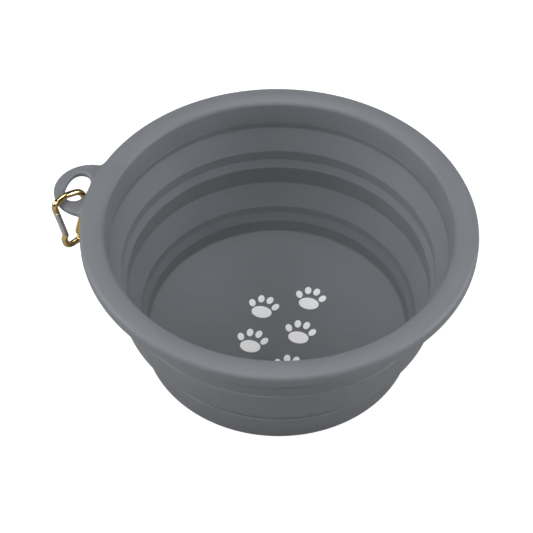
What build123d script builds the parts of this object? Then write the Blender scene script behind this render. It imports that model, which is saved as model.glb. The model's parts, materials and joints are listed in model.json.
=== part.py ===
from build123d import *
import os
from math import cos, hypot, radians, sin

# Collapsible silicone travel bowl with a moulded hanging tab and a small carabiner.
# Millimetres. +Z is up, the origin is the centre of the flat underside, and the tab points along -X.

# ---- driving dimensions: bowl ----
RIM_R = 89.0            # outer radius of the lip
BOWL_H = 76.0           # top of the lip above the table
FLOOR_T = 2.0           # thickness of the floor
WEB_H = 11.5            # height of each folding web while the bowl stands open
WEB_T = 1.5             # wall of a folding web, measured across
FLOOR_R = 62.3          # inner radius where the wall meets the floor
LOWER_WEB_Z = 17.4      # where the lower web starts
LOWER_WEB_R = 65.0      # its inner radius there
LOWER_WEB_END_R = 70.8  # its inner radius at the top
UPPER_WEB_Z = 49.0      # where the upper web starts
UPPER_WEB_R = 72.1
UPPER_WEB_END_R = 77.0

# ---- driving dimensions: hanging tab ----
TAB_TOP = 73.1
TAB_T = 3.0
TAB_TIP_R = 105.7       # how far the tab reaches from the bowl's axis
TAB_HALF_W = 16.2
FLARE_R = 4.0           # concave flare into the lip
TAB_ROOT = 2.5          # how deep the tab's plate runs into the lip
TAB_SOFT = 1.1          # rounding of the tab's edges
HOLE_R = 5.25           # half of the slot's width
HOLE_HALF = 8.9         # half of the slot's length
HOLE_X = -95.15         # centre of the slot

# ---- driving dimensions: carabiner ----
WIRE_D = 2.9
GATE_D = 2.8
GATE_LEN = 15.6         # hinge pin centre to the gate's free end
HANG_AZ = 234.8         # compass direction in which the gate side faces
HANG_X, HANG_Y = -96.26, -8.37
HANG_DROP = 5.3         # tab top down to the carabiner's own zero
GATE_PIN = (4.64, -14.0)
GATE_LEAN = 10.4        # the gate leans outward by this many degrees
PLAY = 0.35             # gap between the nose and the closed gate
TAIL_GAP = 1.85         # hinge pin centre down to the wire's end
TONGUE_T = 0.9
TONGUE_W = 1.0
HOOK_W = 2.25           # the hook at the tongue's end, which holds the latch pin
HOOK_H = 0.7
TANG_T = 1.0
TANG_R = 1.2
SLOT_PLAY = 0.12        # gap on each side of the tongue and the tang
HINGE_R = 0.5
PIN_PLAY = 0.05         # between the hinge pin and the tang's eye
LATCH_R = 0.42
LATCH_LEN = 3.0
LATCH_AT = 14.0         # along the gate from the hinge pin
LATCH_SIDE = -0.4
HEAD_R = 0.78           # domed head of the hinge pin
HEAD_T = 0.45
NOSE_SLOT = 3.5         # depth of the slot at the free end
FOOT_SLOT = 1.9         # depth of the slot above the hinge pin
BORE_R = 0.75
BORE_START = 0.9
GATE_TIP_BEVEL = 0.3
SPRING_END = 10.5
SPRING_WIRE = 0.22
SPRING_TURNS = 9
PLUNGER_LEN = 1.8
TIGHT = 0.05            # small gap between parts that slide or touch

# ---- driving dimensions: printed paw trail ----
PRINT_W = 14.5
PRINT_T = 0.15
PRINT_SIDE = 10.5
PRINT_STRIDE = 11.0
PRINT_X = 1.0
PRINT_Y = -2.0

LOWER_WEB_TOP = LOWER_WEB_Z + WEB_H
UPPER_WEB_TOP = UPPER_WEB_Z + WEB_H
PLUNGER_Y = TANG_R + TIGHT      # the plunger's nose rests just off the tang

os.makedirs("parts", exist_ok=True)


def save(shape, name):
    """Write one named sub-part."""
    shape.label = name
    export_step(shape, f"parts/{name}.step")


def turned(outline):
    """Turn a closed outline of (radius, height) edges about the bowl's axis."""
    return revolve(make_face(Plane.XZ * outline), Axis.Z)


def chain(*points):
    """Straight walls through (radius, height) points."""
    return Polyline(*points)


# ---- the bowl's walls, from the floor up ----

def base_floor():
    return Cylinder(FLOOR_R, FLOOR_T, align=(Align.CENTER, Align.CENTER, Align.MIN))


def base_ring():
    inner_top = (LOWER_WEB_R, LOWER_WEB_Z)
    outer_top = (LOWER_WEB_R + WEB_T, LOWER_WEB_Z)
    wall = chain((FLOOR_R, 0), (63.2, 0))
    heel = RadiusArc((63.2, 0), (64.2, 1.1), -1.1)
    side = chain((64.2, 1.1), (66.9, 15.6))
    shoulder = ThreePointArc((66.9, 15.6), (66.97, 16.5), outer_top)
    inside = chain(outer_top, inner_top, (64.5, 13.8), (62.7, 9.3), (FLOOR_R, 3.2), (FLOOR_R, 0))
    return turned(wall + heel + side + shoulder + inside)


def fold_web(foot_r, foot_z, top_r):
    """A sloping wall of even thickness that folds when the bowl is pressed flat."""
    foot = (foot_r, foot_z)
    top_z = foot_z + WEB_H
    return turned(chain(foot, (foot_r + WEB_T, foot_z), (top_r + WEB_T, top_z), (top_r, top_z), foot))


def lower_fold_web():
    return fold_web(LOWER_WEB_R, LOWER_WEB_Z, LOWER_WEB_END_R)


def middle_ring():
    start = (LOWER_WEB_END_R + WEB_T, LOWER_WEB_TOP)
    drip = chain(start, (72.6, 28.2))
    bead = ThreePointArc((72.6, 28.2), (73.25, 28.3), (73.55, 29.3))
    side = chain((73.55, 29.3), (74.8, 43.2))
    shoulder = ThreePointArc((74.8, 43.2), (74.72, 44.0), (74.4, 44.7))
    inside = chain(
        (74.4, 44.7),
        (UPPER_WEB_R + WEB_T, UPPER_WEB_Z),
        (UPPER_WEB_R, UPPER_WEB_Z),
        (UPPER_WEB_R, 43.6),
        (70.3, 39.6),
        (LOWER_WEB_END_R, LOWER_WEB_TOP),
        start,
    )
    return turned(drip + bead + side + shoulder + inside)


def upper_fold_web():
    return fold_web(UPPER_WEB_R, UPPER_WEB_Z, UPPER_WEB_END_R)


def rim_ring():
    """Skirt, funnel and the thick soft lip, with a fine groove at the foot of the funnel."""
    foot = chain((UPPER_WEB_END_R, UPPER_WEB_TOP), (UPPER_WEB_END_R + WEB_T, UPPER_WEB_TOP), (79.0, 67.4))
    under = ThreePointArc((79.0, 67.4), (79.7, 69.1), (81.4, 69.8))
    ledge = chain((81.4, 69.8), (88.0, 69.9))
    lower_round = ThreePointArc((88.0, 69.9), (88.7, 70.2), (RIM_R, 70.9))
    edge = chain((RIM_R, 70.9), (RIM_R, 73.6))
    upper_round = ThreePointArc((RIM_R, 73.6), (88.45, 75.1), (87.0, 75.9))
    top = ThreePointArc((87.0, 75.9), (83.5, BOWL_H), (80.2, 75.2))
    crest = ThreePointArc((80.2, 75.2), (78.7, 74.2), (77.9, 72.6))
    funnel = chain(
        (77.9, 72.6),
        (76.5, 64.4),
        (77.1, 64.0),
        (76.8, 63.7),
        (UPPER_WEB_END_R, UPPER_WEB_TOP),
    )
    return turned(foot + under + ledge + lower_round + edge + upper_round + top + crest + funnel)


def hanging_tab(rim):
    """Flat loop on the lip, flared into it, with an oval slot for the carabiner."""
    plan = Circle(RIM_R - TIGHT) + Pos(TAB_HALF_W - TAB_TIP_R, 0) * Circle(TAB_HALF_W)
    for side in (Axis.Y, -Axis.Y):
        plan = fillet(plan.vertices().filter_by(lambda v: v.X < 0).sort_by(side)[-1], FLARE_R)
    plan -= Circle(RIM_R - TAB_ROOT)
    plan -= Pos(HOLE_X, 0) * Rot(0, 0, 90) * SlotOverall(2 * HOLE_HALF, 2 * HOLE_R)
    outer_half = Pos(-TAB_TIP_R, 0) * Rectangle(2 * (TAB_TIP_R - RIM_R) + 11, 4.4 * TAB_HALF_W)
    plate = Pos(0, 0, TAB_TOP - TAB_T) * extrude(plan & outer_half, TAB_T)
    flat = [e for e in plate.edges() if abs(e.center().Z - TAB_TOP + TAB_T / 2) > TAB_T / 3]
    soft = [e for e in flat if e.center().X < -RIM_R and hypot(e.center().X, e.center().Y) > RIM_R + 0.6]
    return fillet(soft, TAB_SOFT) - rim


# ---- the mark printed on the floor: a trail of paw prints ----

def paw_print(width):
    """One plain paw print seen from above, walking along +Y."""
    toes = ((-0.40, 0.12, 24), (-0.15, 0.36, 8), (0.15, 0.36, -8), (0.40, 0.12, -24))
    print_plan = Pos(0, -0.20 * width) * Ellipse(0.34 * width, 0.25 * width)
    for x, y, turn in toes:
        print_plan += Pos(x * width, y * width) * Rot(0, 0, turn) * Ellipse(0.11 * width, 0.16 * width)
    return print_plan


def floor_print():
    trail = [Pos(PRINT_SIDE * (-1) ** step, PRINT_STRIDE * (step - 2), FLOOR_T) *
             extrude(paw_print(PRINT_W), PRINT_T) for step in range(5)]
    return Pos(PRINT_X, PRINT_Y) * Compound(children=trail)


# ---- the carabiner: drawn in its own upright plane, first axis outward, second axis up ----
HANG = Plane(
    origin=(HANG_X, HANG_Y, TAB_TOP - HANG_DROP),
    x_dir=(cos(radians(HANG_AZ)), sin(radians(HANG_AZ)), 0),
    z_dir=(sin(radians(HANG_AZ)), -cos(radians(HANG_AZ)), 0),
)
LEAN = Pos(*GATE_PIN) * Rot(0, 0, -GATE_LEAN)      # the gate's own frame: hinge at zero, +Y to its free end


def on_gate(side, along):
    """A point of the gate's frame in the carabiner's plane."""
    return (LEAN * Pos(side, along)).position


def plate(plan, thickness):
    """A flat plate of the carabiner, centred on its mid plane."""
    return extrude(plan, thickness / 2, both=True)


def cross_rod(radius, length, along=0.0, side=0.0):
    """A round pin across the gate."""
    return LEAN * Pos(side, along) * Cylinder(radius, length)


def carabiner_frame():
    """Bent wire with a hooked nose above the gate and a flat tang inside the gate's foot."""
    nose = on_gate(0, GATE_LEN + PLAY)
    tail = on_gate(0, -TAIL_GAP)
    bend = FilletPolyline(
        nose,
        on_gate(0, 20.9),
        (1.9, 8.4),
        (-6.7, 6.0),
        (-8.6, -2.0),
        (-2.6, -18.0),
        (-4.3, -23.2),
        (4.4, -24.0),
        (5.3, -18.0),
        tail,
        radius=[3.0, 9.0, 6.0, 12.0, 3.0, 2.2, 3.6, 2.0],
    )
    section = Plane(origin=bend @ 0, z_dir=bend % 0) * Circle(WIRE_D / 2)
    wire = sweep(section, path=bend)
    stem = Pos(0.75, GATE_LEN - 0.8) * Rectangle(TONGUE_W, 3.4)
    hook = Pos(0.125, GATE_LEN - 2.55) * Rectangle(HOOK_W, HOOK_H)
    tongue = plate(LEAN * (stem + hook), TONGUE_T)
    eye = Circle(TANG_R) + Pos(0, -1.3) * Rectangle(2 * TANG_R, 2 * 1.3)
    tang = plate(LEAN * eye, TANG_T)
    frame = wire + tongue + tang
    return frame - cross_rod(HINGE_R + PIN_PLAY, 2 * GATE_D)


def carabiner_gate():
    """Round rod, slotted at both ends and bored for its spring."""
    rod = Pos(0, GATE_LEN / 2) * Rot(90, 0, 0) * Cylinder(GATE_D / 2, GATE_LEN)
    rod = chamfer(rod.edges().filter_by(GeomType.CIRCLE).sort_by(Axis.Y)[-1], GATE_TIP_BEVEL)
    foot = Rot(90, 0, 0) * Cylinder(GATE_D / 2, 2 * GATE_D) & Cylinder(GATE_D / 2, GATE_D)
    rod += foot
    top_slot = Pos(0, GATE_LEN - NOSE_SLOT / 2) * Box(2 * GATE_D, NOSE_SLOT, TONGUE_T + 2 * SLOT_PLAY)
    foot_slot = Pos(0, FOOT_SLOT - GATE_D) * Box(2 * GATE_D, 2 * GATE_D, TANG_T + 2 * SLOT_PLAY)
    bore = Pos(0, (BORE_START + SPRING_END) / 2) * Rot(90, 0, 0) * Cylinder(BORE_R, SPRING_END - BORE_START)
    body = LEAN * (rod - top_slot - foot_slot - bore)
    return body - gate_hinge_pin() - cross_rod(LATCH_R, 2 * GATE_D, LATCH_AT, LATCH_SIDE)


def gate_hinge_pin():
    """A pin through the gate's foot with a low domed head at each end."""
    head = Pos(0, 0, (GATE_D - TIGHT - HEAD_T) / 2) * Cylinder(HEAD_R, HEAD_T)
    head = fillet(head.edges().sort_by(Axis.Z)[-1], 0.2)
    return LEAN * (Cylinder(HINGE_R, GATE_D - HEAD_T) + head + mirror(head, Plane.XY))


def gate_latch_pin():
    return cross_rod(LATCH_R, LATCH_LEN, LATCH_AT, LATCH_SIDE)


def gate_plunger():
    """Small round-nosed pin that rides on the tang."""
    body = Rot(90, 0, 0) * Cylinder(BORE_R - TIGHT, PLUNGER_LEN)
    body = fillet(body.edges().filter_by(GeomType.CIRCLE).sort_by(Axis.Y)[0], 0.3)
    return LEAN * Pos(0, PLUNGER_Y + PLUNGER_LEN / 2) * body


def gate_spring():
    """Close-bored compression spring between the plunger and the end of the bore."""
    start = PLUNGER_Y + PLUNGER_LEN + 2 * SPRING_WIRE
    length = SPRING_END - start - SPRING_WIRE
    coil = Helix(pitch=length / SPRING_TURNS, height=length, radius=BORE_R - SPRING_WIRE / 2 - TIGHT)
    section = Plane(origin=coil @ 0, z_dir=coil % 0) * Circle(SPRING_WIRE / 2)
    return LEAN * Pos(0, start) * Rot(-90, 0, 0) * sweep(section, path=coil)


rim = rim_ring()
save(base_floor(), "base_floor")
save(base_ring(), "base_ring")
save(floor_print(), "floor_print")
save(lower_fold_web(), "lower_fold_web")
save(middle_ring(), "middle_ring")
save(upper_fold_web(), "upper_fold_web")
save(rim, "rim_ring")
save(hanging_tab(rim), "hanging_tab")

carabiner = {
    "carabiner_frame": carabiner_frame(),
    "carabiner_gate": carabiner_gate(),
    "gate_hinge_pin": gate_hinge_pin(),
    "gate_latch_pin": gate_latch_pin(),
    "gate_plunger": gate_plunger(),
    "gate_spring": gate_spring(),
}
for name, shape in carabiner.items():
    save(HANG * shape, name)
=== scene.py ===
import json
from math import atan2, cos, hypot, pi, radians, sin, sqrt

import bmesh
import bpy
from mathutils import Matrix, Vector


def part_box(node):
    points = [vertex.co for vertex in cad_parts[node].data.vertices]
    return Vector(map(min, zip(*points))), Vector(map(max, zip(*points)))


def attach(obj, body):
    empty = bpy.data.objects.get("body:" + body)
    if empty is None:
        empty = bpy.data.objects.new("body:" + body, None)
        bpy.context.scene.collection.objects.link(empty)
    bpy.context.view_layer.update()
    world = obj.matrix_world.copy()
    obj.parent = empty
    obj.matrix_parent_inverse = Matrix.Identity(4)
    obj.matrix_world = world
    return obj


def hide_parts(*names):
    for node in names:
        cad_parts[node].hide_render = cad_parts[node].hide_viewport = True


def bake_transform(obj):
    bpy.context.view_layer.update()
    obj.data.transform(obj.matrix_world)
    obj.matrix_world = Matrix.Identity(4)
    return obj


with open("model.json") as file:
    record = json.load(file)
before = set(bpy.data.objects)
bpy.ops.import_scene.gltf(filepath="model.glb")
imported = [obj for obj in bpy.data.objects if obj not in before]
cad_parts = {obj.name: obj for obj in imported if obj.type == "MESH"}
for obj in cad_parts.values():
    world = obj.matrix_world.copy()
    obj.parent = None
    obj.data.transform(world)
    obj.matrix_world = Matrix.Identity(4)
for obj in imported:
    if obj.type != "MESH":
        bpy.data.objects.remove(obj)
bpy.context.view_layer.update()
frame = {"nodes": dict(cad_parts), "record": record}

MM = 0.001
AXIS = Vector((0, 0, 1))        # the bowl's axis


# ---------------------------------------------------------------------------
# sizes read from the frame
# ---------------------------------------------------------------------------
def reach(node):
    """Outer radius of a round node about the bowl's axis."""
    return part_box(node)[1].x


def foot(node):
    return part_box(node)[0].z


def head(node):
    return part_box(node)[1].z


def mount_place(name):
    """Where one of the record's mounts is."""
    for mount in frame["record"]["mounts"]:
        if mount["name"] == name:
            return Vector(mount["pos_m"])
    raise KeyError(name)


LIP_R = reach("rim_ring")
LIP_TOP = head("rim_ring")
FLOOR_R = reach("base_floor")
FLOOR_TOP = head("base_floor")
MIDDLE_R = reach("middle_ring")
SEAM_Z = 36.0 * MM              # the flat of the middle ring, where the two shells meet

WEB_WALL = 1.5 * MM
LOWER_WEB = (foot("lower_fold_web"), head("lower_fold_web"))    # heights of a web's foot and head
UPPER_WEB = (foot("upper_fold_web"), head("upper_fold_web"))
LOWER_OUT = (reach("base_ring") - 0.5 * MM, reach("lower_fold_web"))    # and its outer radius there
UPPER_OUT = (MIDDLE_R - 1.2 * MM, reach("upper_fold_web"))


# ---------------------------------------------------------------------------
# node helpers
# ---------------------------------------------------------------------------
def wire(tree, source, target):
    tree.links.new(source, target)


def add(tree, kind, **settings):
    """A node, with its settings and the values of its named or numbered inputs."""
    node = tree.nodes.new(kind)
    inputs = settings.pop("inputs", {})
    for key, value in settings.items():
        setattr(node, key, value)
    for key, value in inputs.items():
        if isinstance(value, bpy.types.NodeSocket):
            wire(tree, value, node.inputs[key])
        else:
            node.inputs[key].default_value = value
    return node


def math_node(tree, operation, first, second):
    return add(tree, "ShaderNodeMath", operation=operation, inputs={0: first, 1: second}).outputs[0]


def group_sockets(tree, inputs, outputs):
    for name, kind, value in inputs:
        made = tree.interface.new_socket(name, in_out="INPUT", socket_type=kind)
        if value is not None:
            made.default_value = value
    for name, kind in outputs:
        tree.interface.new_socket(name, in_out="OUTPUT", socket_type=kind)


# ---------------------------------------------------------------------------
# shared finishes, as shader node groups
# ---------------------------------------------------------------------------
FLOAT, VECTOR = "NodeSocketFloat", "NodeSocketVector"
WAVES_PER_METRE = 55.0          # slow unevenness of a moulded face


def matt_mould_grain():
    """Fine spark-eroded grain of a satin mould, as a height."""
    tree = bpy.data.node_groups.new("matt mould grain", "ShaderNodeTree")
    group_sockets(
        tree,
        [("Vector", VECTOR, None), ("Grains per metre", FLOAT, 2600.0), ("Waviness", FLOAT, 0.25)],
        [("Height", FLOAT)],
    )
    given = add(tree, "NodeGroupInput").outputs
    grain = add(tree, "ShaderNodeTexNoise", inputs={
        "Vector": given["Vector"], "Scale": given["Grains per metre"], "Detail": 3.0, "Roughness": 0.6})
    wave = add(tree, "ShaderNodeTexNoise", inputs={
        "Vector": given["Vector"], "Scale": WAVES_PER_METRE, "Detail": 2.0, "Roughness": 0.4})
    soft = math_node(tree, "MULTIPLY", wave.outputs["Fac"], given["Waviness"])
    total = math_node(tree, "ADD", grain.outputs["Fac"], soft)
    end = add(tree, "NodeGroupOutput")
    wire(tree, total, end.inputs["Height"])
    return tree


def handled_patches():
    """Broad uneven patches from handling and washing, 0 to 1."""
    tree = bpy.data.node_groups.new("handled patches", "ShaderNodeTree")
    group_sockets(
        tree,
        [("Vector", VECTOR, None), ("Patches per metre", FLOAT, 28.0), ("Contrast", FLOAT, 0.6)],
        [("Amount", FLOAT)],
    )
    given = add(tree, "NodeGroupInput").outputs
    broad = add(tree, "ShaderNodeTexNoise", inputs={
        "Vector": given["Vector"], "Scale": given["Patches per metre"], "Detail": 5.0,
        "Roughness": 0.55, "Distortion": 0.6})
    centred = math_node(tree, "SUBTRACT", broad.outputs["Fac"], 0.5)
    scaled = math_node(tree, "MULTIPLY", centred, given["Contrast"])
    moved = add(tree, "ShaderNodeMath", operation="ADD", use_clamp=True, inputs={0: scaled, 1: 0.5})
    end = add(tree, "NodeGroupOutput")
    wire(tree, moved.outputs[0], end.inputs["Amount"])
    return tree


def flex_streaks():
    """Faint upright streaks round the bowl, where the wall has been folded, 0 to 1."""
    tree = bpy.data.node_groups.new("flex streaks", "ShaderNodeTree")
    group_sockets(
        tree,
        [("Vector", VECTOR, None), ("Streaks round", FLOAT, 9.0), ("Streaks up", FLOAT, 14.0)],
        [("Amount", FLOAT)],
    )
    given = add(tree, "NodeGroupInput").outputs
    part = add(tree, "ShaderNodeSeparateXYZ", inputs={0: given["Vector"]})
    flat = add(tree, "ShaderNodeCombineXYZ", inputs={0: part.outputs[0], 1: part.outputs[1]})
    way = add(tree, "ShaderNodeVectorMath", operation="NORMALIZE", inputs={0: flat.outputs[0]})
    around = add(tree, "ShaderNodeVectorMath", operation="SCALE",
                 inputs={0: way.outputs[0], "Scale": given["Streaks round"]})
    up = math_node(tree, "MULTIPLY", part.outputs[2], given["Streaks up"])
    lift = add(tree, "ShaderNodeCombineXYZ", inputs={2: up})
    place = add(tree, "ShaderNodeVectorMath", operation="ADD",
                inputs={0: around.outputs[0], 1: lift.outputs[0]})
    noise = add(tree, "ShaderNodeTexNoise", inputs={
        "Vector": place.outputs[0], "Scale": 1.0, "Detail": 4.0, "Roughness": 0.6})
    end = add(tree, "NodeGroupOutput")
    wire(tree, noise.outputs["Fac"], end.inputs["Amount"])
    return tree


def fine_scratches():
    """Hair scratches in a polished or satin metal, 0 to 1; across and along are in marks per metre."""
    tree = bpy.data.node_groups.new("fine scratches", "ShaderNodeTree")
    group_sockets(
        tree,
        [("Vector", VECTOR, None), ("Across", FLOAT, 9000.0), ("Along", FLOAT, 500.0)],
        [("Amount", FLOAT)],
    )
    given = add(tree, "NodeGroupInput").outputs
    size = add(tree, "ShaderNodeCombineXYZ", inputs={
        0: given["Across"], 1: given["Across"], 2: given["Along"]})
    place = add(tree, "ShaderNodeVectorMath", operation="MULTIPLY",
                inputs={0: given["Vector"], 1: size.outputs[0]})
    noise = add(tree, "ShaderNodeTexNoise", inputs={
        "Vector": place.outputs[0], "Scale": 1.0, "Detail": 3.0, "Roughness": 0.7})
    end = add(tree, "NodeGroupOutput")
    wire(tree, noise.outputs["Fac"], end.inputs["Amount"])
    return tree


GRAIN = matt_mould_grain()
PATCHES = handled_patches()
STREAKS = flex_streaks()
SCRATCHES = fine_scratches()


# ---------------------------------------------------------------------------
# materials
# ---------------------------------------------------------------------------
SILICONE_IOR = 1.42
SILICONE_DEPTH = 2.5 * MM       # how far light travels in the grey silicone
STREAK_SHARE = 0.45             # streaks against patches in the silicone's tone
SILICONE_GRAIN_DEPTH = 0.06 * MM
INK_GRAIN_DEPTH = 0.02 * MM


def new_material(name):
    """An empty material: its tree, its shader and the surface's own coordinates."""
    material = bpy.data.materials.new(name)
    material.use_nodes = True
    tree = material.node_tree
    shader = tree.nodes["Principled BSDF"]
    place = add(tree, "ShaderNodeTexCoord").outputs["Object"]
    return material, tree, shader, place


def use_group(tree, group, place, **values):
    """Places a shared finish, with its own values, and gives its one output."""
    node = add(tree, "ShaderNodeGroup", node_tree=group)
    wire(tree, place, node.inputs["Vector"])
    for key, value in values.items():
        node.inputs[key.replace("_", " ")].default_value = value
    return node.outputs[0]


def between(tree, share, low, high):
    """A value from low to high as share goes from 0 to 1."""
    return add(tree, "ShaderNodeMapRange", inputs={
        "Value": share, "To Min": low, "To Max": high}).outputs[0]


def tint(tree, share, dark, light):
    """A colour from dark to light as share goes from 0 to 1; a single number is a grey."""
    mixed = add(tree, "ShaderNodeMix", data_type="RGBA")
    wire(tree, share, mixed.inputs["Factor"])
    for key, colour in (("A", dark), ("B", light)):
        red_green_blue = colour if isinstance(colour, tuple) else (colour,) * 3
        mixed.inputs[key].default_value = (*red_green_blue, 1)
    return mixed.outputs["Result"]


def bump(tree, height, distance):
    return add(tree, "ShaderNodeBump", inputs={
        "Height": height, "Distance": distance, "Strength": 1.0}).outputs[0]


def satin_silicone():
    material, tree, shader, place = new_material("satin grey silicone")
    patches = use_group(tree, PATCHES, place, Patches_per_metre=26.0, Contrast=0.9)
    streaks = use_group(tree, STREAKS, place)
    tone = add(tree, "ShaderNodeMix", data_type="FLOAT", inputs={0: STREAK_SHARE})
    wire(tree, patches, tone.inputs[2])
    wire(tree, streaks, tone.inputs[3])
    colour = tint(tree, tone.outputs[0], (0.152, 0.161, 0.175), (0.188, 0.198, 0.214))
    wire(tree, colour, shader.inputs["Base Color"])
    wire(tree, between(tree, patches, 0.40, 0.54), shader.inputs["Roughness"])
    grain = use_group(tree, GRAIN, place, Grains_per_metre=1800.0, Waviness=1.5)
    wire(tree, bump(tree, grain, SILICONE_GRAIN_DEPTH), shader.inputs["Normal"])
    shader.inputs["IOR"].default_value = SILICONE_IOR
    shader.inputs["Subsurface Weight"].default_value = 0.5
    shader.inputs["Subsurface Radius"].default_value = (1.0, 1.0, 1.0)
    shader.inputs["Subsurface Scale"].default_value = SILICONE_DEPTH
    return material


def printed_ink():
    material, tree, shader, place = new_material("white silicone ink")
    patches = use_group(tree, PATCHES, place, Patches_per_metre=160.0, Contrast=0.8)
    wire(tree, tint(tree, patches, 0.93, 0.98), shader.inputs["Base Color"])
    wire(tree, between(tree, patches, 0.45, 0.6), shader.inputs["Roughness"])
    grain = use_group(tree, GRAIN, place, Grains_per_metre=4200.0, Waviness=0.1)
    wire(tree, bump(tree, grain, INK_GRAIN_DEPTH), shader.inputs["Normal"])
    return material


def metal(name, dark, light, roughness, marks, depth):
    """A bare metal with hair scratches, a little brighter in patches; marks are across and along."""
    material, tree, shader, place = new_material(name)
    scratches = use_group(tree, SCRATCHES, place, Across=marks[0], Along=marks[1])
    patches = use_group(tree, PATCHES, place, Patches_per_metre=220.0, Contrast=1.0)
    wire(tree, tint(tree, patches, dark, light), shader.inputs["Base Color"])
    wire(tree, between(tree, scratches, *roughness), shader.inputs["Roughness"])
    wire(tree, bump(tree, scratches, depth), shader.inputs["Normal"])
    shader.inputs["Metallic"].default_value = 1.0
    return material


SILICONE = satin_silicone()
INK = printed_ink()
GOLD = metal(
    "pale gold plating", (0.66, 0.45, 0.17), (0.80, 0.60, 0.29),
    roughness=(0.09, 0.20), marks=(5000, 900), depth=0.003 * MM)
SATIN = metal(
    "satin silver gate", (0.62, 0.58, 0.58), (0.74, 0.70, 0.70),
    roughness=(0.30, 0.45), marks=(14000, 500), depth=0.006 * MM)
STEEL = metal(
    "drawn steel", (0.42, 0.42, 0.43), (0.60, 0.60, 0.61),
    roughness=(0.22, 0.36), marks=(9000, 2000), depth=0.004 * MM)
RIVET = metal(
    "darkened rivet steel", (0.05, 0.05, 0.06), (0.11, 0.11, 0.12),
    roughness=(0.34, 0.50), marks=(9000, 9000), depth=0.004 * MM)


# ---------------------------------------------------------------------------
# the bowl: outlines turned about the axis with geometry nodes
# ---------------------------------------------------------------------------
TURNING_R = 50.0 * MM           # radius of the guide circle that an outline is turned along
STEPS_ROUND = 288
CORNER_STEPS = 5
WELD = 0.01 * MM
DOUBLES = 0.002 * MM


def turned_shell_tree():
    """Rounds each corner of an outline by that point's own radius, then turns it about the axis."""
    tree = bpy.data.node_groups.new("turned shell", "GeometryNodeTree")
    group_sockets(
        tree,
        [
            ("Outline", "NodeSocketGeometry", None),
            ("Turning radius", FLOAT, TURNING_R),
            ("Steps round", "NodeSocketInt", STEPS_ROUND),
            ("Corner steps", "NodeSocketInt", CORNER_STEPS),
            ("Weld", FLOAT, WELD),
            ("Finish", "NodeSocketMaterial", None),
        ],
        [("Shell", "NodeSocketGeometry")],
    )
    given = add(tree, "NodeGroupInput").outputs
    corner = add(tree, "GeometryNodeInputNamedAttribute", data_type="FLOAT", inputs={"Name": "radius"})
    rounded = add(tree, "GeometryNodeFilletCurve", mode="POLY", inputs={
        "Curve": given["Outline"], "Count": given["Corner steps"],
        "Radius": corner.outputs["Attribute"]})
    even = add(tree, "GeometryNodeSetCurveRadius", inputs={"Curve": rounded.outputs[0], "Radius": 1.0})
    inward = math_node(tree, "MULTIPLY", given["Turning radius"], -1.0)
    offset = add(tree, "ShaderNodeCombineXYZ", inputs={0: inward})
    moved = add(tree, "GeometryNodeTransform", inputs={
        "Geometry": even.outputs[0], "Translation": offset.outputs[0]})
    ring = add(tree, "GeometryNodeCurvePrimitiveCircle", inputs={
        "Resolution": given["Steps round"], "Radius": given["Turning radius"]})
    shell = add(tree, "GeometryNodeCurveToMesh", inputs={
        "Curve": ring.outputs[0], "Profile Curve": moved.outputs[0]})
    welded = add(tree, "GeometryNodeMergeByDistance", inputs={
        "Geometry": shell.outputs[0], "Distance": given["Weld"]})
    real = add(tree, "GeometryNodeRealizeInstances", inputs={0: welded.outputs[0]})
    coated = add(tree, "GeometryNodeSetMaterial", inputs={
        "Geometry": real.outputs[0], "Material": given["Finish"]})
    end = add(tree, "NodeGroupOutput")
    wire(tree, coated.outputs[0], end.inputs["Shell"])
    return tree


TURNED = turned_shell_tree()


def set_inputs(modifier, tree, values):
    """Gives a geometry nodes modifier its named inputs, by their identifiers."""
    for item in tree.interface.items_tree:
        if item.in_out == "INPUT" and item.name in values:
            modifier[item.identifier] = values[item.name]


def outward(mesh):
    """Merges doubles, drops loose edges and points every face outwards."""
    work = bmesh.new()
    work.from_mesh(mesh)
    bmesh.ops.remove_doubles(work, verts=work.verts, dist=DOUBLES)
    loose = [edge for edge in work.edges if not edge.link_faces]
    bmesh.ops.delete(work, geom=loose, context="EDGES")
    bmesh.ops.recalc_face_normals(work, faces=work.faces)
    if work.calc_volume(signed=True) < 0:
        bmesh.ops.reverse_faces(work, faces=work.faces)
    for face in work.faces:
        face.smooth = True
    work.to_mesh(mesh)
    work.free()


def in_scene(name, data):
    """A new object at the origin, in the scene."""
    made = bpy.data.objects.new(name, data)
    bpy.context.scene.collection.objects.link(made)
    return made


def plain_piece(name, mesh, sharp):
    """A finished object with smooth shading between edges sharper than the given degrees."""
    outward(mesh)
    mesh.set_sharp_from_angle(angle=radians(sharp))
    return in_scene(name, mesh)


def outline_curve(name, points):
    """A closed flat outline of (radius, height, corner radius) points."""
    curve = bpy.data.curves.new(name, "CURVE")
    curve.dimensions = "3D"
    spline = curve.splines.new("POLY")
    spline.points.add(len(points) - 1)
    for point, (r, z, corner) in zip(spline.points, points):
        point.co = (r, -z, 0, 1)        # turning lays the outline's +Y along -Z
        point.radius = corner
    spline.use_cyclic_u = True
    return in_scene(name, curve)


def turned_piece(name, points, finish):
    """Turns an outline with the geometry nodes tree and keeps the result as a plain mesh."""
    source = outline_curve(name, points)
    modifier = source.modifiers.new(TURNED.name, "NODES")
    modifier.node_group = TURNED
    set_inputs(modifier, TURNED, {
        "Turning radius": TURNING_R, "Steps round": STEPS_ROUND, "Corner steps": CORNER_STEPS,
        "Weld": WELD, "Finish": finish})
    bpy.context.view_layer.update()
    evaluated = source.evaluated_get(bpy.context.evaluated_depsgraph_get())
    mesh = bpy.data.meshes.new_from_object(evaluated)
    mesh.name = name
    source.modifiers.remove(modifier)
    bpy.data.objects.remove(source)
    return plain_piece(name, mesh, sharp=40)


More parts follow.
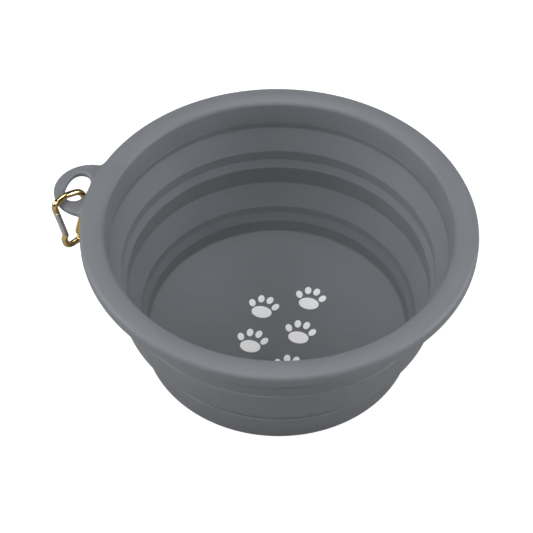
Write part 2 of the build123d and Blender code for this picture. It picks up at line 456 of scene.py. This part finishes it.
# In both outlines a corner is (radius, height, rounding), and the offsets are the moulding's small steps.
FOLD_STEPS = 16                 # rows of faces up a web
CRISP = 0.15 * MM               # rounding of a moulded ledge
SEAM_OUT = MIDDLE_R - 0.66 * MM                 # the middle ring's outer face at the seam
SEAM_IN = LOWER_OUT[1] - WEB_WALL - 0.34 * MM   # and its inner face


def up_the_wall(start, end):
    """Points inside a straight wall from one corner to the next."""
    shares = [i / FOLD_STEPS for i in range(1, FOLD_STEPS)]
    return [(start[0] + (end[0] - start[0]) * t, start[1] + (end[1] - start[1]) * t, 0.0) for t in shares]


def lower_shell():
    """Floor, base ring, lower web and the lower half of the middle ring, as one moulding."""
    web_foot, web_head = LOWER_WEB
    low_out = (LOWER_OUT[0], web_foot, 0.1 * MM)
    high_out = (LOWER_OUT[1], web_head, 0.25 * MM)
    low_in = (low_out[0] - WEB_WALL, web_foot, 1.2 * MM)
    high_in = (high_out[0] - WEB_WALL, web_head, 1.0 * MM)
    drip_z = web_head - 0.7 * MM
    underside = [(0.0, 0.0, 0.0), (FLOOR_R + 1.8 * MM, 0.0, 1.2 * MM)]
    ledge = [
        (LOWER_OUT[0] + 0.5 * MM, web_foot - 1.0 * MM, CRISP),
        (LOWER_OUT[0] - 0.1 * MM, web_foot - 0.45 * MM, CRISP),
    ]
    drip_edge = [(high_out[0] + 0.3 * MM, drip_z, 0.2 * MM), (MIDDLE_R - 1.35 * MM, drip_z, 0.7 * MM)]
    outside = underside + ledge + [low_out] + up_the_wall(low_out, high_out) + [high_out] + drip_edge
    seam = [(SEAM_OUT, SEAM_Z, 0.0), (SEAM_IN, SEAM_Z, 0.0)]
    step_and_floor = [
        (FLOOR_R + 2.2 * MM, web_foot - 3.6 * MM, 1.6 * MM),
        (FLOOR_R + 0.4 * MM, web_foot - 8.1 * MM, 1.6 * MM),
        (FLOOR_R, FLOOR_TOP, 1.1 * MM),
        (0.0, FLOOR_TOP, 0.0),
    ]
    return outside + seam + [high_in] + up_the_wall(high_in, low_in) + [low_in] + step_and_floor


def upper_shell():
    """Upper half of the middle ring, upper web, skirt, funnel and lip, as one moulding."""
    web_foot, web_head = UPPER_WEB
    low_out = (UPPER_OUT[0], web_foot, 1.0 * MM)
    high_out = (UPPER_OUT[1], web_head, 1.2 * MM)
    low_in = (low_out[0] - WEB_WALL, web_foot, 1.0 * MM)
    high_in = (high_out[0] - WEB_WALL, web_head, 1.0 * MM)
    lip_foot = foot("rim_ring") + 9.4 * MM
    ledge = [(MIDDLE_R, web_foot - 5.2 * MM, CRISP), (MIDDLE_R - 0.65 * MM, web_foot - 4.6 * MM, CRISP)]
    lip = [
        (high_out[0] + 0.6 * MM, lip_foot - 0.1 * MM, 2.0 * MM),
        (LIP_R, lip_foot, 1.1 * MM),
        (LIP_R, LIP_TOP - 0.1 * MM, 2.4 * MM),
        (LIP_R - 6.0 * MM, LIP_TOP + 0.02 * MM, 8.0 * MM),
        (LIP_R - 10.7 * MM, LIP_TOP - 0.9 * MM, 2.8 * MM),
    ]
    funnel_groove = [
        (LIP_R - 12.5 * MM, LIP_TOP - 11.6 * MM, 0.1 * MM),
        (LIP_R - 11.9 * MM, LIP_TOP - 12.0 * MM, 0.1 * MM),
        (LIP_R - 12.2 * MM, LIP_TOP - 12.3 * MM, 0.1 * MM),
    ]
    chamfer_in = [
        (low_in[0], web_foot - 5.4 * MM, 1.4 * MM),
        (SEAM_IN - 0.16 * MM, web_foot - 9.4 * MM, 1.4 * MM),
    ]
    outside = [(SEAM_OUT, SEAM_Z, 0.0)] + ledge + [low_out] + up_the_wall(low_out, high_out) + [high_out]
    inside = funnel_groove + [high_in] + up_the_wall(high_in, low_in) + [low_in]
    return outside + lip + inside + chamfer_in + [(SEAM_IN, SEAM_Z, 0.0)]


lower = turned_piece("bowl_base_and_lower_fold", lower_shell(), SILICONE)
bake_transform(lower)
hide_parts("base_floor", "base_ring", "lower_fold_web")

upper = turned_piece("bowl_rim_and_upper_fold", upper_shell(), SILICONE)
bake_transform(upper)
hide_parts("middle_ring", "upper_fold_web", "rim_ring")


# ---------------------------------------------------------------------------
# the hanging tab: one ring of rounded section round its slot, rising into the lip
# ---------------------------------------------------------------------------
TAB_LOW, TAB_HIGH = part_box("hanging_tab")
TAB_R = 16.2 * MM                                   # round end of the tab
TAB_MID = Vector((TAB_LOW.x + TAB_R, 0))            # its centre
FLARE_R = 4.0 * MM                                  # rounding in plan where the tab meets the lip
SLOT_MID = Vector((mount_place("tab_slot").x, 0))
SLOT_HALF = Vector((5.25 * MM, 8.9 * MM))
SLOT_FULLNESS = 2.3                                 # 2 would be an ellipse, more is squarer
TAB_SOFT = 1.1 * MM                                 # rounding of the tab's edges
SOFT_TURNS = [radians(v) for v in range(0, 91, 18)]
TIP_STEPS = 56
BEND_STEPS = 18                                     # points on the flare, and on half the root
TOP_ROWS = 16
UNDER_ROWS = 5
ROOT_R = LIP_R - 2.5 * MM
ROOT_SKIN_R = LIP_R - 1.2 * MM
ROOT_RISE_R = 3.0 * MM                              # hollow rounding from the tab up to the lip
ROOT_SLOPE = 0.4                                    # fall of the tab's top once inside the lip
LIP_ROUND_R = 2.2 * MM
LIP_ROUND_MID = (LIP_R - 2.0 * MM, LIP_TOP - 2.4 * MM)


def arc(middle, radius, start, end, count):
    """Points on a flat arc, both ends included."""
    turns = [start + (end - start) * i / (count - 1) for i in range(count)]
    return [Vector((middle[0] + radius * cos(t), middle[1] + radius * sin(t))) for t in turns]


def tab_outline():
    """Half of the tab's edge, from its tip to the middle of its root, on the +Y side."""
    outer = LIP_R + FLARE_R
    inner = TAB_R + FLARE_R
    x = (inner ** 2 - outer ** 2 - TAB_MID.x ** 2) / (-2 * TAB_MID.x)
    flare = Vector((x, sqrt(outer ** 2 - x ** 2)))
    to_tab = TAB_MID - flare
    to_bowl = -flare
    leave = atan2(-to_tab.y, -to_tab.x)
    tip = arc(TAB_MID, TAB_R, pi, leave, TIP_STEPS)
    bend = arc(flare, FLARE_R, atan2(to_tab.y, to_tab.x), atan2(to_bowl.y, to_bowl.x), BEND_STEPS)
    root_turn = atan2(flare.y, flare.x)
    inward = [Vector((cos(root_turn), sin(root_turn))) * r for r in (ROOT_SKIN_R, ROOT_R)]
    root = arc((0, 0), ROOT_R, root_turn, pi, BEND_STEPS)
    return tip + bend[1:] + inward + root[1:]


def both_sides(half):
    """The whole closed outline from its +Y half."""
    return half + [Vector((p.x, -p.y)) for p in reversed(half[1:-1])]


def slot_point(share):
    """A point on the +Y half of the slot's oval edge, from the tip side at 0 to the bowl side at 1."""
    way = Vector((-cos(pi * share), max(0.0, sin(pi * share))))
    size = (abs(way.x) / SLOT_HALF.x) ** SLOT_FULLNESS + (way.y / SLOT_HALF.y) ** SLOT_FULLNESS
    return SLOT_MID + way / size ** (1 / SLOT_FULLNESS)


def slot_edge(half):
    """One slot point for each point of the tab's outline, roughly opposite it and never doubled."""
    facing = 0.6                # share taken from the direction, the rest from the count
    edge = []
    for i, point in enumerate(half):
        seen = point - SLOT_MID
        opposite = 1 - atan2(seen.y, seen.x) / pi
        edge.append(slot_point(facing * opposite + (1 - facing) * i / (len(half) - 1)))
    return edge


def into_material(loop, turn):
    """Unit normals of a closed loop; turn is +1 or -1."""
    normals = []
    for i, point in enumerate(loop):
        run = (loop[(i + 1) % len(loop)] - point).normalized() + (point - loop[i - 1]).normalized()
        normals.append(Vector((-run.y, run.x)).normalized() * turn)
    return normals


def tab_top(point):
    """Height of the tab's upper face: flat, then rising in a hollow curve to meet the lip's rounding."""
    r = hypot(point.x, point.y)
    centre_z = TAB_HIGH.z + ROOT_RISE_R
    gap = ROOT_RISE_R + LIP_ROUND_R
    rise_start = LIP_ROUND_MID[0] + sqrt(gap ** 2 - (centre_z - LIP_ROUND_MID[1]) ** 2)
    meet = LIP_ROUND_MID[0] + (rise_start - LIP_ROUND_MID[0]) * LIP_ROUND_R / gap
    inward = rise_start - max(r, meet)
    if inward <= 0:
        return TAB_HIGH.z
    return centre_z - sqrt(ROOT_RISE_R ** 2 - inward ** 2) - max(0, meet - r) * ROOT_SLOPE


def tab_rows():
    """Closed loops of points that wrap the tab's section: top, outer edge, underside and slot edge."""
    half = tab_outline()
    outer = both_sides(half)
    inner = both_sides(slot_edge(half))
    outer_in = into_material(outer, -1)
    inner_in = into_material(inner, 1)

    def height(point, top, drop=0.0):
        return tab_top(point) - drop if top else TAB_LOW.z + drop

    def edge(loop, normals, turns, top):
        for t in turns:
            shift = TAB_SOFT * (1 - cos(t))
            drop = TAB_SOFT * (1 - sin(t))
            flat = [p + n * shift for p, n in zip(loop, normals)]
            yield [(p.x, p.y, height(p, top, drop)) for p in flat]

    def face(count, top):
        first = [p + n * TAB_SOFT for p, n in zip(inner, inner_in)]
        last = [p + n * TAB_SOFT for p, n in zip(outer, outer_in)]
        steps = [i / count for i in range(1, count)]
        for step in steps if top else reversed(steps):
            flat = [a + (b - a) * step for a, b in zip(first, last)]
            yield [(p.x, p.y, height(p, top)) for p in flat]

    yield from edge(inner, inner_in, SOFT_TURNS, top=True)
    yield from face(TOP_ROWS, top=True)
    yield from edge(outer, outer_in, reversed(SOFT_TURNS), top=True)
    yield from edge(outer, outer_in, SOFT_TURNS, top=False)
    yield from face(UNDER_ROWS, top=False)
    yield from edge(inner, inner_in, reversed(SOFT_TURNS), top=False)


def hanging_tab():
    rows = list(tab_rows())
    count = len(rows[0])
    faces = []
    for k in range(len(rows)):
        a = k * count
        b = (k + 1) % len(rows) * count
        faces += [(a + i, a + (i + 1) % count, b + (i + 1) % count, b + i) for i in range(count)]
    mesh = bpy.data.meshes.new("hanging_loop")
    mesh.from_pydata([point for row in rows for point in row], [], faces)
    mesh.materials.append(SILICONE)
    return plain_piece("hanging_loop", mesh, sharp=60)


loop = hanging_tab()
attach(loop, "rim")
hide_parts("hanging_tab")


# ---------------------------------------------------------------------------
# the print and the carabiner's own pieces, which keep their shape and get their finishes
# ---------------------------------------------------------------------------
def finish_node(node, material):
    made = frame["nodes"][node]
    for place in made.material_slots:
        place.material = material


finish_node("floor_print", INK)
finish_node("carabiner_frame", GOLD)
finish_node("carabiner_gate", SATIN)
for node in ("gate_hinge_pin", "gate_latch_pin"):
    finish_node(node, RIVET)
for node in ("gate_plunger", "gate_spring"):
    finish_node(node, STEEL)


# ---------------------------------------------------------------------------
# floor, light and camera
# ---------------------------------------------------------------------------
TABLE_HALF = 3.0                # half the table's side
TABLE_DROP = 0.3 * MM           # keeps the table clear of the bowl's underside
TABLE_GLOW = 0.80               # lifts the table to white where the camera sees it
ROOM_FILL = 0.05                # what the room gives to light and reflections
SOFTBOX = 0.8                   # a square softbox's side
SOFTBOX_AWAY = 1.4              # and its distance from the bowl's middle
BOWL_MID = Vector((0, 0, 0.04))
VIEW_AZIMUTH = 13.8             # 0 looks along +Y
VIEW_ELEVATION = 48.3
VIEW_ROLL = 0.52
VIEW_AIM = Vector((-0.0107, 0.0202, 0.0197))
VIEW_DISTANCE = 8.0 * LIP_R
LENS = 99.3                     # focal length for the sensor's width, both in millimetres
SENSOR = 36.0
ACROSS = Vector((cos(radians(VIEW_AZIMUTH)), sin(radians(VIEW_AZIMUTH)), 0))    # to the camera's right
AWAY = AXIS.cross(ACROSS)                                                       # level, from it


def camera_only(tree):
    """1 where the camera looks, 0 for light and reflections."""
    return add(tree, "ShaderNodeLightPath").outputs["Is Camera Ray"]


def studio_floor():
    mesh = bpy.data.meshes.new("studio_floor")
    signs = ((-1, -1), (1, -1), (1, 1), (-1, 1))
    corners = [(x * TABLE_HALF, y * TABLE_HALF, -TABLE_DROP) for x, y in signs]
    mesh.from_pydata(corners, [], [(0, 1, 2, 3)])
    material, tree, shader, place = new_material("lit white table")
    patches = use_group(tree, PATCHES, place, Patches_per_metre=3.0, Contrast=0.2)
    wire(tree, tint(tree, patches, 0.40, 0.44), shader.inputs["Base Color"])
    shader.inputs["Roughness"].default_value = 0.8
    shader.inputs["Emission Color"].default_value = (1, 1, 1, 1)
    glow = math_node(tree, "MULTIPLY", camera_only(tree), TABLE_GLOW)
    wire(tree, glow, shader.inputs["Emission Strength"])
    mesh.materials.append(material)
    in_scene("studio_floor", mesh)


def white_room():
    """A dim room, so that metal reflects mostly the softboxes, which the camera sees as plain white."""
    world = bpy.data.worlds.new("white room")
    bpy.context.scene.world = world
    world.use_nodes = True
    tree = world.node_tree
    background = tree.nodes["Background"]
    background.inputs["Color"].default_value = (1, 1, 1, 1)
    strength = math_node(tree, "MAXIMUM", camera_only(tree), ROOM_FILL)
    wire(tree, strength, background.inputs["Strength"])


def softbox(name, side, elevation, power):
    """A softbox aimed at the bowl; side turns it about the bowl, from the camera (0) to its right (90)."""
    turn = radians(side)
    rise = radians(elevation)
    way = (ACROSS * sin(turn) - AWAY * cos(turn)) * cos(rise) + AXIS * sin(rise)
    data = bpy.data.lights.new(name, "AREA")
    data.shape = "SQUARE"
    data.size = SOFTBOX
    data.energy = power
    lamp = in_scene(name, data)
    lamp.location = BOWL_MID + way * SOFTBOX_AWAY
    lamp.rotation_mode = "QUATERNION"
    lamp.rotation_quaternion = (-way).to_track_quat("-Z", "Y")


def studio_camera():
    """The camera, at the view's azimuth, elevation and roll."""
    rise = radians(VIEW_ELEVATION)
    back = -AWAY * cos(rise) + AXIS * sin(rise)
    up = back.cross(ACROSS)
    roll = radians(VIEW_ROLL)
    side = ACROSS * cos(roll) + up * sin(roll)
    top = up * cos(roll) - ACROSS * sin(roll)
    data = bpy.data.cameras.new("studio camera")
    data.lens = LENS
    data.sensor_width = SENSOR
    data.clip_start = 0.05
    data.clip_end = 20.0
    made = in_scene("studio camera", data)
    made.matrix_world = Matrix((side, top, back)).transposed().to_4x4()
    made.location = VIEW_AIM + back * VIEW_DISTANCE
    bpy.context.scene.camera = made


studio_floor()
white_room()
softbox("right softbox", side=90, elevation=28, power=12.5)
softbox("left softbox", side=-90, elevation=28, power=13.0)
softbox("front softbox", side=-12, elevation=42, power=7.6)
softbox("overhead softbox", side=180, elevation=86, power=8.4)
bpy.context.scene.view_settings.view_transform = "Standard"
studio_camera()
